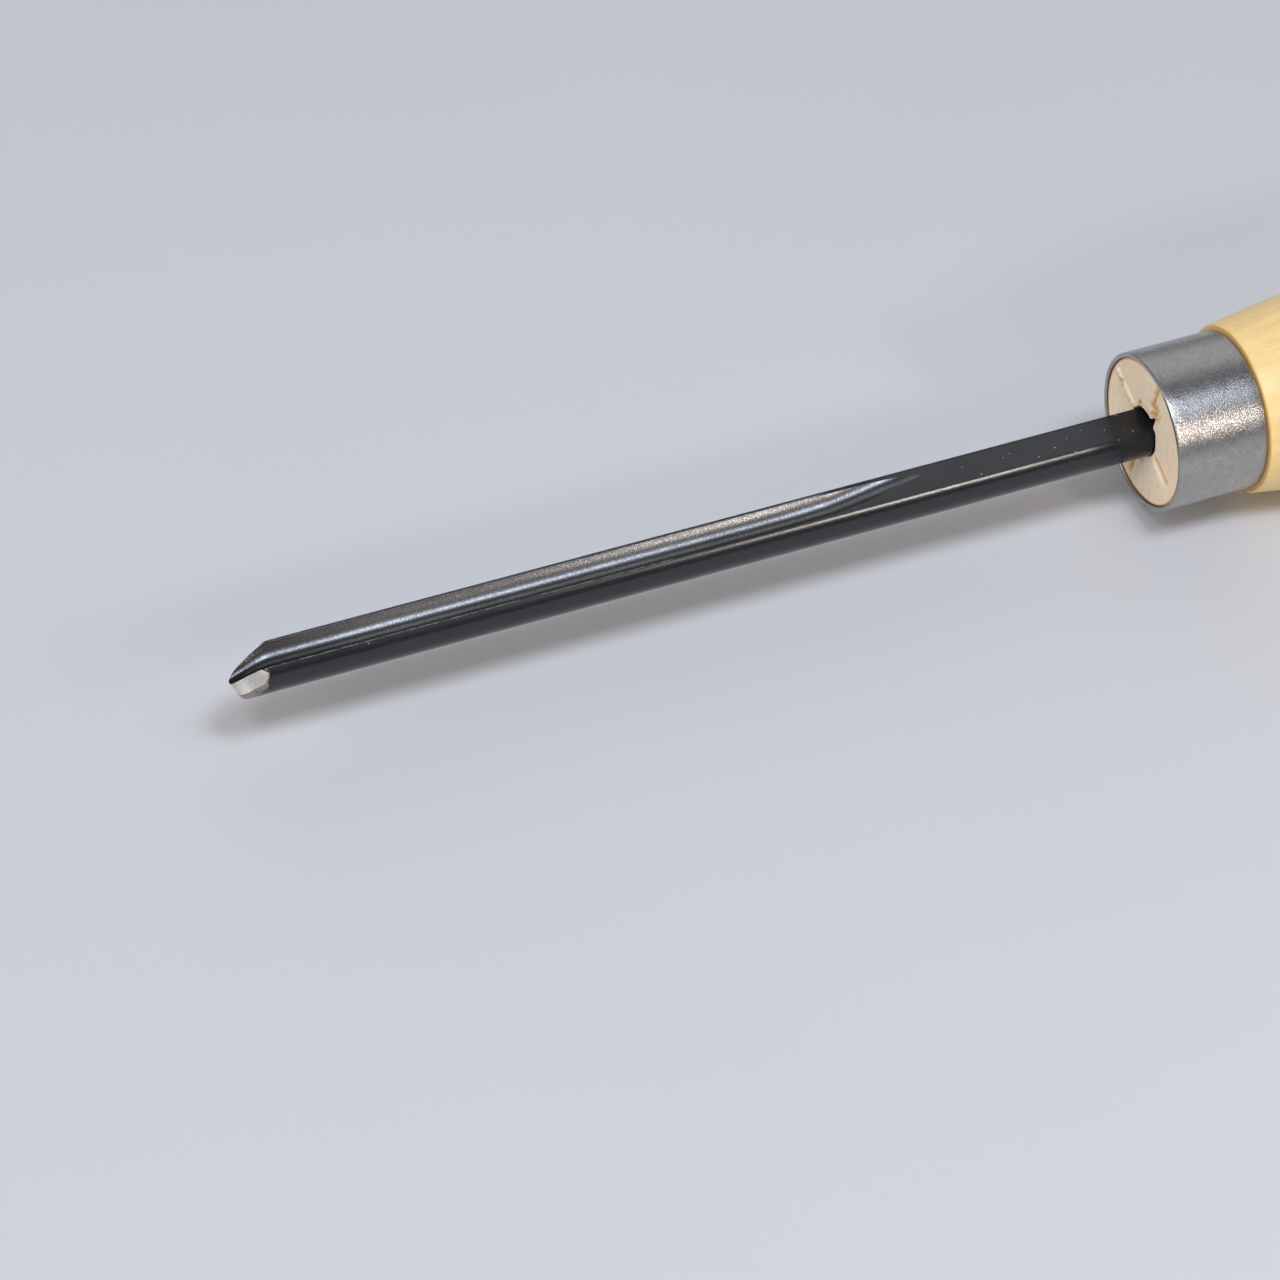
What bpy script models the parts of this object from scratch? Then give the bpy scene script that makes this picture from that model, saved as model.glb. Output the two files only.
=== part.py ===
"""Small spindle gouge for woodturning: a fluted bar, a ferrule and a turned handle.

Metres, +Z up. The tool lies along X with its cutting tip at -X and its flute facing +Z. The origin is in
the middle of its length, on the surface that it lies on, and the tool's own axis is at height AXIS_Z.
"""

import math

import bmesh
import bpy

MM = 0.001

# Driving dimensions
OVERALL_LENGTH = 320.0 * MM
EXPOSED_BLADE = 118.45 * MM  # cutting nose to the ferrule's front rim
BAR_RADIUS = 3.0 * MM
FLAT_HEIGHT = 2.05 * MM  # height of the ground flat above the bar's axis
CORNER_RADIUS = 0.12 * MM  # where the flat meets the round
TANG_LENGTH = 46.0 * MM  # bar inside the handle
TANG_EASE = 0.05 * MM  # the tang is rubbed down this much where it goes into the handle
TANG_CHAMFER = 0.8 * MM

RIM = 2.04 * MM  # half the flute's width on the flat
FLUTE_DEPTH = 1.55 * MM  # below the flat; the flute's section is a parabola
FLUTE_LENGTH = 88.9 * MM  # cutting nose to the end of the run-out
NOSE_DIP = 1.43 * MM  # honing has sunk the flute's floor this much further at the nose
DIP_LENGTH = 5.2 * MM
DIP_EASE = 1.5
RUNOUT_RADIUS = 160.0 * MM  # grinding wheel that leaves the run-out
RUNOUT_OFFSET = 0.75 * MM  # the run-out's point lies this far towards +Y
RUNOUT_SKEW_DEPTH = 1.25 * MM  # the flute's middle starts to wander at this depth
RUNOUT_TAIL = 3.5 * MM  # the run-out's last stretch, which polishing has thinned
RUNOUT_THINNING = 0.75

# The cutting edge lies LINEAR h + SQUARE h^2 back from the nose where it is h above it.
NEAR_WING = (0.62, 0.25 / MM)
FAR_WING = (0.88, 0.27 / MM)
FAR_TAPER = 1.6 * MM  # the far wing ends in a point that runs this much further back along the rim
TAPER_POWER = 24
FAN = math.radians(130.8)  # the bevel's lines fan out to this far round the bar from its underside
FAN_EASE = math.radians(5.2)
BEVEL_AT_NOSE = 0.52  # run back along the bar for each unit outwards from the edge
BEVEL_AT_WING = 1.05
BEVEL_EASE = 1.5
HEEL_DISTANCE = 1.55 * MM  # width of the primary bevel before the heel facet
HEEL_SHARE = 0.9  # the primary bevel takes at most this share of a short way to the round
HEEL_AT_NOSE = 0.5
HEEL_RISE = 3.3  # the heel facet runs back more steeply towards the wings

FERRULE_RADIUS = 10.0 * MM
FERRULE_BORE = 9.4 * MM
FERRULE_LENGTH = 12.1 * MM
FERRULE_CHAMFER = 0.2 * MM

TENON_RADIUS = 9.3 * MM
TENON_RECESS = 0.25 * MM  # the wood's end face lies this far inside the ferrule's front rim
JOINT_GAP = 0.1 * MM
TANG_HOLE_RADIUS = 3.25 * MM
TANG_HOLE_DEPTH = 47.0 * MM
HOLE_POINT = 1.9 * MM  # cone left by the drill's tip

SHOULDER_RADIUS = 10.5 * MM  # edge of the wood's flat shoulder behind the ferrule
SHOULDER_EASE = 0.5 * MM  # length of its eased corner
NECK_RADIUS = 10.75 * MM
SWELL_RADIUS = 12.9 * MM
FRONT_SWELL = 23.8 * MM  # places along the handle, measured from its shoulder
WAIST = 78.0 * MM
WAIST_RADIUS = 10.9 * MM
REAR_SWELL = 150.0 * MM
BUTT_RADIUS = 3.2 * MM  # flat left in the middle of the butt
BUTT_FULLNESS = 2.4  # exponent of the butt's outline: 2 is an ellipse, and more is blunter

SEGMENTS = 40  # facets round each turned piece
EDGE_COLUMNS = 12  # spaces across the flute
EDGE_STEPS = 20  # rounds of working out where the cutting edge lies
DIP_RINGS = 5  # sections between the ground tip and DIP_END
DIP_END = 8.5 * MM
LEAST_WIDTH = 0.01  # the run-out ends this narrow, as a share of the flute's width
AXIS_Z = SWELL_RADIUS
NOSE_X = -OVERALL_LENGTH / 2
FERRULE_X = NOSE_X + EXPOSED_BLADE
SHOULDER_X = FERRULE_X + FERRULE_LENGTH + JOINT_GAP
BUTT_X = OVERALL_LENGTH / 2
NOSE_HEIGHT = FLAT_HEIGHT - FLUTE_DEPTH - NOSE_DIP
RUNOUT_START = FLUTE_LENGTH - math.sqrt(
    RUNOUT_RADIUS**2 - (RUNOUT_RADIUS - FLUTE_DEPTH) ** 2
)


def material(name, colour, metallic, roughness):
    made = bpy.data.materials.new(name)
    made.use_nodes = True
    shader = made.node_tree.nodes["Principled BSDF"]
    shader.inputs["Base Color"].default_value = (*colour, 1.0)
    shader.inputs["Metallic"].default_value = metallic
    shader.inputs["Roughness"].default_value = roughness
    return made


def add_object(name, bm, finish):
    """Makes an object on the tool's axis out of a bmesh that is built around the X axis."""
    bmesh.ops.recalc_face_normals(bm, faces=bm.faces)
    mesh = bpy.data.meshes.new(name)
    bm.to_mesh(mesh)
    bm.free()
    mesh.shade_smooth()
    mesh.set_sharp_from_angle(angle=math.radians(30))
    mesh.materials.append(finish)
    made = bpy.data.objects.new(name, mesh)
    made.location = (0, 0, AXIS_Z)
    bpy.context.scene.collection.objects.link(made)
    return made


def turned(profile, closed):
    """Turns (x, radius) points round the X axis. A flat facet, not an edge, faces straight down."""
    bm = bmesh.new()
    half = math.pi / SEGMENTS
    across = 1 / math.cos(half)  # the facets touch the true circle from outside
    points = [
        bm.verts.new((x, r * across * math.sin(half), -r * across * math.cos(half)))
        for x, r in profile
    ]
    pairs = list(zip(points, points[1:]))
    if closed:
        pairs.append((points[-1], points[0]))
    edges = [bm.edges.new(pair) for pair in pairs]
    bmesh.ops.spin(
        bm,
        geom=points + edges,
        axis=(1, 0, 0),
        cent=(0, 0, 0),
        steps=SEGMENTS,
        angle=2 * math.pi,
        use_merge=True,
    )
    bmesh.ops.remove_doubles(bm, verts=bm.verts, dist=1e-7)
    return bm


def wheel_depth(back):
    """Depth below the flat that the grinding wheel left at a distance back from the nose."""
    run = max(0.0, min(back, FLUTE_LENGTH) - RUNOUT_START)
    lift = RUNOUT_RADIUS - math.sqrt(RUNOUT_RADIUS**2 - run**2)
    return max(0.0, FLUTE_DEPTH - lift)


def flute_width(back):
    """The flute's width as a share of its full width, with the end of the run-out thinned."""
    left = max(0.0, FLUTE_LENGTH - back)
    thinned = 1 - RUNOUT_THINNING * math.exp(-left / RUNOUT_TAIL)
    return max(math.sqrt(wheel_depth(back) / FLUTE_DEPTH) * thinned, LEAST_WIDTH)


def flute_point(back, share):
    """(y, z) of the flute's surface, at a share from -1 to 1 across its width."""
    width = flute_width(back)
    middle = RUNOUT_OFFSET * max(0.0, 1 - (wheel_depth(back) / RUNOUT_SKEW_DEPTH) ** 2)
    dip = NOSE_DIP * max(0.0, 1 - back / DIP_LENGTH) ** DIP_EASE
    depth = FLUTE_DEPTH * width**2 + dip
    # Past the run-out the same lines spread out over the flat.
    spread = min(1.0, max(0.0, (back - FLUTE_LENGTH) / MM))
    width += (1 - width) * spread
    depth *= 1 - spread
    middle *= 1 - spread
    return middle + share * width * RIM, FLAT_HEIGHT - depth * (1 - share**2)


def round_point(share):
    """(y, z) on the bar's round side of the line that starts at this share across the flute."""
    angle = -math.pi / 2 + FAN * share + FAN_EASE * math.sin(2 * math.pi * share)
    return BAR_RADIUS * math.cos(angle), BAR_RADIUS * math.sin(angle)


def edge_point(share):
    """The cutting edge as (back, y, z), where the tip's sweep meets the flute."""
    linear, square = FAR_WING if share > 0 else NEAR_WING
    taper = FAR_TAPER * max(0.0, share) ** TAPER_POWER
    back = 0.0
    for _ in range(EDGE_STEPS):
        height = flute_point(back, share)[1] - NOSE_HEIGHT
        back = linear * height + square * height**2 + taper
    return back, *flute_point(back, share)


def bevel_run(z, outwards):
    """Distance back from the cutting edge at height z of the bevel, this far outwards from it."""
    risen = min(1.0, max(0.0, (z - NOSE_HEIGHT) / (FLAT_HEIGHT - NOSE_HEIGHT)))
    primary = BEVEL_AT_NOSE + (BEVEL_AT_WING - BEVEL_AT_NOSE) * risen**BEVEL_EASE
    heel = HEEL_AT_NOSE + HEEL_RISE * risen
    return primary * min(outwards, HEEL_DISTANCE) + heel * max(0.0, outwards - HEEL_DISTANCE)


def bevel_points(share):
    """The ground tip's heel line and its end on the round, as (back, y, z), below one point of the edge."""
    back, y, z = edge_point(share)
    round_y, round_z = round_point(share)
    whole = math.hypot(round_y - y, round_z - z)
    points = []
    for distance in (min(HEEL_DISTANCE, HEEL_SHARE * whole), whole):
        way = distance / whole
        points.append((back + bevel_run(z, distance), y + (round_y - y) * way, z + (round_z - z) * way))
    return points


def corner_points():
    """The rounded corner on the +Y side, from the round up to the flat."""
    centre_z = FLAT_HEIGHT - CORNER_RADIUS
    centre_y = math.sqrt((BAR_RADIUS - CORNER_RADIUS) ** 2 - centre_z**2)
    start = math.atan2(centre_z, centre_y)
    angles = [start + (math.pi / 2 - start) * k / 2 for k in range(3)]
    return [
        (centre_y + CORNER_RADIUS * math.cos(a), centre_z + CORNER_RADIUS * math.sin(a))
        for a in angles
    ]


def blade_stations():
    """Distances back from the nose of the sections behind the ground tip."""
    runout = [
        RUNOUT_START + (FLUTE_LENGTH - RUNOUT_START) * k / 12 for k in range(12)
    ]
    last = FLUTE_LENGTH - 0.05 * MM
    return [38 * MM, *runout, last, FLUTE_LENGTH + 1.5 * MM, EXPOSED_BLADE]


def section(back, bend):
    """The bar's closed section at a distance back, as (y, z) points: flat and flute, then the round."""
    corner = corner_points()
    top = [(-y, z) for y, z in corner]
    top += [flute_point(back, share) for share in bend]
    top += reversed(corner)
    return top + [round_point(share) for share in reversed(bend)]


def tip_section(bend):
    """The front end of every line of the section, where the ground tip cuts it, as (back, y, z)."""

    def corner_front(y, z):
        share = math.copysign(1.0, y)
        back, rim_y, rim_z = edge_point(share)
        return back + bevel_run(rim_z, math.hypot(y - rim_y, z - rim_z)), y, z

    corner = corner_points()
    points = [corner_front(-y, z) for y, z in corner]
    points += [edge_point(share) for share in bend]
    points += [corner_front(y, z) for y, z in reversed(corner)]
    points += [bevel_points(share)[1] for share in reversed(bend)]
    return points


def follow_dip(front, bend, share):
    """A ring this share of the way from the ground tip back to DIP_END, on the sunken flute."""
    corner = len(corner_points())
    ring = []
    for k, (back, y, z) in enumerate(front):
        along = back + (DIP_END - back) * share
        if corner <= k < corner + len(bend):
            y, z = flute_point(along, bend[k - corner])
        ring.append((along, y, z))
    return ring


def gouge_blade():
    """The bar is one set of lines running its whole length, joined by the ground tip in front."""
    bm = bmesh.new()
    bend = [math.sin(math.pi / 2 * (2 * k / EDGE_COLUMNS - 1)) for k in range(EDGE_COLUMNS + 1)]
    place = lambda back, y, z: bm.verts.new((NOSE_X + back, y, z))
    tip = tip_section(bend)
    front = [place(*point) for point in tip]
    rings = [front]
    for k in range(1, DIP_RINGS + 1):
        rings.append([place(*point) for point in follow_dip(tip, bend, k / DIP_RINGS)])
    for back in blade_stations():
        rings.append([place(back, y, z) for y, z in section(back, bend)])
    tang = section(EXPOSED_BLADE, bend)
    for beyond, less in (
        (3 * TANG_EASE, TANG_EASE),
        (TANG_LENGTH - TANG_CHAMFER, TANG_EASE),
        (TANG_LENGTH, TANG_CHAMFER),
    ):
        share = 1 - less / BAR_RADIUS
        rings.append([place(EXPOSED_BLADE + beyond, y * share, z * share) for y, z in tang])
    count = len(front)
    for ring, following in zip(rings, rings[1:]):
        for k in range(count):
            n = (k + 1) % count
            bm.faces.new((ring[k], ring[n], following[n], following[k]))
    bm.faces.new(rings[-1])
    # Ground tip: from the cutting edge out to the heel line, and on to the round.
    corner = len(corner_points())
    across = len(bend)
    edge = front[corner : corner + across]
    low = front[2 * corner + across :][::-1]
    heel = [place(*bevel_points(share)[0]) for share in bend]
    for inner, outer in ((edge, heel), (heel, low)):
        for k in range(across - 1):
            bm.faces.new((inner[k], inner[k + 1], outer[k + 1], outer[k]))
    near = front[:corner]
    far = front[corner + across : 2 * corner + across]
    bm.faces.new([edge[0], heel[0], low[0], *near])
    bm.faces.new([edge[-1], *far, low[-1], heel[-1]])
    bmesh.ops.triangulate(bm, faces=bm.faces)
    return bm


def ferrule():
    front, back = FERRULE_X, FERRULE_X + FERRULE_LENGTH
    cut = FERRULE_CHAMFER
    profile = [
        (front, FERRULE_BORE + cut / 2),
        (front, FERRULE_RADIUS - cut),
        (front + cut, FERRULE_RADIUS),
        (back - cut, FERRULE_RADIUS),
        (back, FERRULE_RADIUS - cut),
        (back, FERRULE_BORE),
        (front + cut / 2, FERRULE_BORE),
    ]
    return turned(profile, closed=True)


def wave(start, end, count):
    """Points of a smooth half wave from one (x, radius) to another, without the first one."""
    made = []
    for k in range(1, count + 1):
        share = (1 - math.cos(math.pi * k / count)) / 2
        made.append(
            (start[0] + (end[0] - start[0]) * k / count, start[1] + (end[1] - start[1]) * share)
        )
    return made


def handle_profile():
    """(x, radius) points from the bottom of the tang hole, out and back to the butt's middle."""
    face = FERRULE_X + TENON_RECESS
    hole_end = face + TANG_HOLE_DEPTH
    profile = [
        (hole_end + HOLE_POINT, 0),
        (hole_end, TANG_HOLE_RADIUS),
        (face, TANG_HOLE_RADIUS),
        (face, TENON_RADIUS),
        (SHOULDER_X, TENON_RADIUS),
        (SHOULDER_X, SHOULDER_RADIUS),
        (SHOULDER_X + SHOULDER_EASE, NECK_RADIUS),
    ]
    for k in range(1, 8):
        share = k / 7
        profile.append(
            (
                SHOULDER_X + SHOULDER_EASE + (FRONT_SWELL - SHOULDER_EASE) * share,
                NECK_RADIUS + (SWELL_RADIUS - NECK_RADIUS) * math.sin(math.pi / 2 * share),
            )
        )
    waist = (SHOULDER_X + WAIST, WAIST_RADIUS)
    rear = (SHOULDER_X + REAR_SWELL, SWELL_RADIUS)
    profile += wave(profile[-1], waist, 8)
    profile += wave(waist, rear, 9)
    flat_share = (BUTT_RADIUS / SWELL_RADIUS) ** (BUTT_FULLNESS / 2)
    last_turn = math.acos(flat_share)
    dome = (BUTT_X - rear[0]) / math.sin(last_turn) ** (2 / BUTT_FULLNESS)
    for k in range(1, 10):
        turn = last_turn * k / 9
        along = math.sin(turn) ** (2 / BUTT_FULLNESS)
        profile.append(
            (rear[0] + dome * along, SWELL_RADIUS * math.cos(turn) ** (2 / BUTT_FULLNESS))
        )
    profile.append((BUTT_X, 0))
    return profile


def main():
    for old in list(bpy.data.objects):
        bpy.data.objects.remove(old)
    black = material("black_oxide_steel", (0.035, 0.037, 0.040), 0.85, 0.38)
    satin = material("satin_steel", (0.42, 0.43, 0.44), 1.0, 0.35)
    wood = material("lacquered_wood", (0.83, 0.64, 0.34), 0.0, 0.28)
    add_object("gouge_blade", gouge_blade(), black)
    add_object("ferrule", ferrule(), satin)
    add_object("handle", turned(handle_profile(), closed=False), wood)


main()
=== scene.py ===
"""Looks of a small spindle gouge: black bar with a ground flute, satin ferrule, lacquered handle.

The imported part's frame is in metres, with +X along the tool to its butt and +Z up. Shapes are worked out
in millimetres round the tool's axis, and in_frame() and on_axis() put them into that frame.
"""

import math

import bmesh
import bpy
from mathutils import Matrix, Vector, noise


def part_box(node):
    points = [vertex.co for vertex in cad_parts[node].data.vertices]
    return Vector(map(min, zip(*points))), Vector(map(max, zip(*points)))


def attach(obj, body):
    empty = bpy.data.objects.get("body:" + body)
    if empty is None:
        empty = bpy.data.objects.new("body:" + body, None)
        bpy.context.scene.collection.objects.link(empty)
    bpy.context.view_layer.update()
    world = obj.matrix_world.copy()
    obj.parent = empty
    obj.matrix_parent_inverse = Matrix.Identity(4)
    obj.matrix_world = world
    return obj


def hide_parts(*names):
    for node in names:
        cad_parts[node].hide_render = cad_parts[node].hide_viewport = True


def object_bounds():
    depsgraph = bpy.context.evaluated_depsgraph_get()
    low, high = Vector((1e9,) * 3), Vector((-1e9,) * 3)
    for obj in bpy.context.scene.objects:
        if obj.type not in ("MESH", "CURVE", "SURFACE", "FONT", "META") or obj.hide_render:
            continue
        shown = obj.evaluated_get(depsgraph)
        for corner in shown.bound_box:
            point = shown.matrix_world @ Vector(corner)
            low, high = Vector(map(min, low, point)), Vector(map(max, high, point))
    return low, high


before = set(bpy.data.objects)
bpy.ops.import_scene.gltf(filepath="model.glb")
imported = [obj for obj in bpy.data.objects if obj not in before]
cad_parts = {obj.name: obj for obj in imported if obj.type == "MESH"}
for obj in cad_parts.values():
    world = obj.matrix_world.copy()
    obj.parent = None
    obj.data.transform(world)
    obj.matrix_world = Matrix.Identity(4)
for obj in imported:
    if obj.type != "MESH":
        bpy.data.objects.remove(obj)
cad_low, cad_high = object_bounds()

MM = 0.001
SHARP_ANGLE = math.radians(30)
BLADE_LOW, BLADE_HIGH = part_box("gouge_blade")
FERRULE_LOW, FERRULE_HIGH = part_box("ferrule")
HANDLE_LOW, HANDLE_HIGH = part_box("handle")
AXIS_Z = (FERRULE_LOW.z + FERRULE_HIGH.z) / 2
NOSE_X = BLADE_LOW.x

# Blade, in millimetres: x back from the cutting nose, y and z from the bar's axis.
BAR_RADIUS = 3.0
FLAT_HEIGHT = 2.05
CORNER_RADIUS = 0.12
CORNER_STEPS = 6
RIM = 2.04  # half the flute's width on the flat
LIP = 0.09  # worn edge between the flute and the flat
LIP_SHARE = 0.955  # the flute's surface starts this far out, below the worn edge
LIP_FADE = 3  # the worn edge thins where the flute is under 1 / LIP_FADE of its full width
FLUTE_DEPTH = 1.55
FLUTE_LENGTH = 88.9
NOSE_DIP = 1.43  # the flute is this much deeper at the nose
DIP_LENGTH = 5.2  # and back to its own depth here
DIP_EASE = 1.5
DIP_END = 8.5  # rings lean with the ground tip as far as here
RUNOUT_RADIUS = 160.0  # of the wheel's path where it leaves the bar
RUNOUT_OFFSET = 0.75  # the run-out drifts this far towards +Y
RUNOUT_SKEW_DEPTH = 1.25  # from where the flute is shallower than this
RUNOUT_TAIL = 3.5  # the last of the flute is thinned over this length
RUNOUT_THINNING = 0.75
RUNOUT_LAST = 0.15  # the last ring in the flute is this far short of its end
HEAL_LENGTH = 1.0  # past its end, the flute's lines come level with the flat over this length
LEAST_WIDTH = 0.01
EXPOSED_BLADE = (FERRULE_LOW.x - NOSE_X) / MM
TANG_END = (BLADE_HIGH.x - NOSE_X) / MM
TANG_EASE = 0.05
TANG_CHAMFER = 0.8

# Where the cutting edge is h above the nose, it lies linear * h + square * h^2 back from it.
NEAR_WING = (0.62, 0.25)
FAR_WING = (0.88, 0.27)
FAR_TAPER = 1.6  # the far wing's end lies this much further back
TAPER_POWER = 24  # how late that sets in
EDGE_STEPS = 20
# The round's lines spread from its lowest one up to the corners, and a little unevenly.
FAN = math.radians(130.8)
FAN_EASE = math.radians(5.2)
# Ground tip: how far back the bevel runs for each millimetre outwards, and the same for the heel facet
BEVEL_AT_NOSE = 0.52
BEVEL_AT_WING = 1.05
BEVEL_EASE = 1.5
HEEL_AT_NOSE = 0.5
HEEL_RISE = 3.3
HEEL_DISTANCE = 1.55  # width of the bevel
HEEL_SHARE = 0.9  # but it takes no more than this share of the way to the round
NICK_DEPTH = 0.05  # unevenness of the heel facet's edge
NICKS = (9, 0.3, 1.7)  # how close together the nicks are, and a seed of two numbers
WORN_AND_HIGHLIT_LENGTH = 55.0  # the near arris is rubbed bright from the tip to here; its bright steel is partly a painted highlight line
UNGROUND_SHARE = 0.93  # above this share of the flute's height the wing keeps its black skin

FLUTE_SPACES = 72
DIP_RINGS = 24
DIP_RING_SPREAD = 1.5  # above 1, the rings stand closer together towards the tip
FLUTE_STATIONS = (15, 25, 35, 45, 55)
RUNOUT_RINGS = 60
SHANK_STATIONS = (100, 110)
BEVEL_ROWS = 10
HEEL_ROWS = 6

# Ferrule and handle, in millimetres: x from the ferrule's front rim
FERRULE_RADIUS = (FERRULE_HIGH.z - FERRULE_LOW.z) / 2 / MM
FERRULE_LENGTH = (FERRULE_HIGH.x - FERRULE_LOW.x) / MM
FERRULE_BORE = 9.42
FERRULE_EDGE = 0.18
FERRULE_FRONT_EDGE = ((0.108, 0.0), (0.04, 0.05), (0.0, 0.12))  # x, and radius above the bore's
FERRULE_SPACES = 8
ROUND_STEPS = 5
TENON_RADIUS = 9.3
TENON_RECESS = 0.25
TENON_EDGE = 0.05
HOLE_RADIUS = 3.3
HOLE_DEPTH = 47.0
HOLE_SLACK = 0.04  # gap between the bar and the lower side of the hole
TEARS = ((0.16, 3, 4.2), (0.09, 11, 0.0))  # how far and how quickly its mouth frays, and a seed
TORN_DEPTH = 3.0  # the mouth's tear keeps its shape down to here
TORN_SHRINK = 0.98
WALL_START = 6.0  # the hole is round from here on
SHOULDER_GAP = 0.05
SHOULDER = FERRULE_LENGTH + SHOULDER_GAP
SHOULDER_RADIUS = 10.5
SHOULDER_EASE = 0.5
NECK_RADIUS = 10.75
SWELL_INSET = 0.02  # keeps the finer surface inside the CAD's
SWELL_RADIUS = (HANDLE_HIGH.z - HANDLE_LOW.z) / 2 / MM - SWELL_INSET
FRONT_SWELL = 23.8
WAIST = 78.0
WAIST_RADIUS = 10.9
REAR_SWELL = 150.0
BUTT = (HANDLE_HIGH.x - FERRULE_LOW.x) / MM
BUTT_RADIUS = 3.2
BUTT_FULLNESS = 2.4
FERRULE_SEGMENTS = 200
HANDLE_SEGMENTS = 400
NECK_STEPS = 16
WAIST_STEPS = 24
REAR_STEPS = 28
BUTT_STEPS = 24
FACE_ROWS = 52
RIM_FADE_ROWS = 3  # the marks of the end face fade out over its last rows
# how amber the end face's outermost rows are, beside the ferrule
RIM_AMBER = 0.8

# Arms of the mark that the lathe's drive centre left in the tenon's end: angle round the axis from +Y
# towards +Z, inner and outer radius, and how wide a strip of torn fibre stands up beside the slit.
DRIVE_MARKS = ((21, 3.3, 8.9, 0.75), (103, 4.6, 8.8, 0.0), (201.5, 3.5, 7.4, 0.75), (285, 3.5, 8.0, 0.6))
ARM_ENDS = (-0.3, 0.15)  # an arm fades between these distances past its inner and outer radius
WOBBLES = ((0.2, 0.9, 0.0), (0.22, 2.9, 5.0))  # how far and how quickly the slits wander, and a seed
SLIT_HALF_WIDTH = 0.38
SLIT_SIDES = (0.5, 1.4)  # its sides slope between these shares of the half width
SLIT_DEPTH = 0.4
SLIT_BRUISE = 0.75  # least bruise in a slit
STRIP_UNEVENNESS = (0.5, 1.7, 9.0)  # of a strip's width: how far, how quickly, and a seed
STRIP_SIDES = (0.6, 0.85)  # its sides slope between these shares of its width
FIBRE_GRAIN = (2.5, 4.0)  # how quickly torn fibre changes along and across an arm
LEAST_FIBRE = 0.35
FIBRE_RISE = 0.22
# Bruises of the end face, the largest beside the hole's notch: angle, radius and reach
CRUSHED_PATCHES = ((112, 5.4, 1.7), (25, 6.9, 0.9), (66, 3.7, 0.8), (268, 3.9, 0.9), (286, 4.6, 0.8))
CRUSHED_CORE = 0.4  # share of the reach that is crushed in full
CRUSHED_GRAIN = (2.2, 3.1)  # how quickly the crushing changes, and a seed
CRUSHED_STAIN = 1.7
LUMP_HEIGHT = 0.12
LUMP_GRAIN = (3.5, 8.0)  # how close together the lumps are, and a seed
NOTCH_ANGLE = math.radians(120)
NOTCH_WIDTH = math.radians(6)
NOTCH_REACH = 1.15
TOP_RAGGEDNESS = 1.2


def in_frame(back, y, z):
    """A point of the blade, given back from the nose, in the part's frame."""
    return Vector((NOSE_X + back * MM, y * MM, AXIS_Z + z * MM))


def on_axis(x, radius, angle):
    """A point of a turned piece: x from the ferrule's front rim, angle round the axis from +Y to +Z."""
    return Vector(
        (
            FERRULE_LOW.x + x * MM,
            radius * math.cos(angle) * MM,
            AXIS_Z + radius * math.sin(angle) * MM,
        )
    )


def finish_piece(name, bm, materials, node):
    """Makes the piece's object, and lets it stand for its CAD node."""
    bmesh.ops.recalc_face_normals(bm, faces=bm.faces)
    mesh = bpy.data.meshes.new(name)
    bm.to_mesh(mesh)
    bm.free()
    marked = [edge.index for edge in mesh.edges if edge.use_edge_sharp]
    mesh.shade_smooth()
    mesh.set_sharp_from_angle(angle=SHARP_ANGLE)
    for index in marked:
        mesh.edges[index].use_edge_sharp = True
    for finish in materials:
        mesh.materials.append(finish)
    piece = bpy.data.objects.new(name, mesh)
    bpy.context.scene.collection.objects.link(piece)
    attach(piece, "root")
    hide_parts(node)
    return piece


# ---- Blade ----


NOSE_HEIGHT = FLAT_HEIGHT - FLUTE_DEPTH - NOSE_DIP
RUNOUT_START = FLUTE_LENGTH - math.sqrt(RUNOUT_RADIUS**2 - (RUNOUT_RADIUS - FLUTE_DEPTH) ** 2)


def wheel_depth(back):
    """Depth below the flat that the grinding wheel left at a distance back from the nose."""
    run = max(0.0, min(back, FLUTE_LENGTH) - RUNOUT_START)
    lift = RUNOUT_RADIUS - math.sqrt(RUNOUT_RADIUS**2 - run**2)
    return max(0.0, FLUTE_DEPTH - lift)


def flute_width(back):
    """The flute's width as a share of its full width."""
    left = max(0.0, FLUTE_LENGTH - back)
    thinned = 1 - RUNOUT_THINNING * math.exp(-left / RUNOUT_TAIL)
    return max(math.sqrt(wheel_depth(back) / FLUTE_DEPTH) * thinned, LEAST_WIDTH)


def flute_point(back, share):
    """(y, z) of the flute's surface, at a share from -1 to 1 across its width."""
    width = flute_width(back)
    middle = RUNOUT_OFFSET * max(0.0, 1 - (wheel_depth(back) / RUNOUT_SKEW_DEPTH) ** 2)
    dip = NOSE_DIP * max(0.0, 1 - back / DIP_LENGTH) ** DIP_EASE
    depth = FLUTE_DEPTH * width**2 + dip
    spread = min(1.0, max(0.0, (back - FLUTE_LENGTH) / HEAL_LENGTH))
    width += (1 - width) * spread
    depth *= 1 - spread
    middle *= 1 - spread
    return middle + share * width * RIM, FLAT_HEIGHT - depth * (1 - share**2)


def lip_point(back, side):
    """(y, z) of the worn edge's outer line on the flat."""
    y, _ = flute_point(back, side)
    return y + side * LIP * min(1.0, LIP_FADE * flute_width(back)), FLAT_HEIGHT


def round_point(share):
    """(y, z) on the bar's round side of the line that starts at this share across the flute."""
    angle = -math.pi / 2 + FAN * share + FAN_EASE * math.sin(2 * math.pi * share)
    return BAR_RADIUS * math.cos(angle), BAR_RADIUS * math.sin(angle)


def edge_point(share):
    """The cutting edge as (back, y, z), where the tip's sweep meets the flute."""
    linear, square = FAR_WING if share > 0 else NEAR_WING
    taper = FAR_TAPER * max(0.0, share) ** TAPER_POWER
    back = 0.0
    for _ in range(EDGE_STEPS):
        height = flute_point(back, share)[1] - NOSE_HEIGHT
        back = linear * height + square * height**2 + taper
    return back, *flute_point(back, share)


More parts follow.
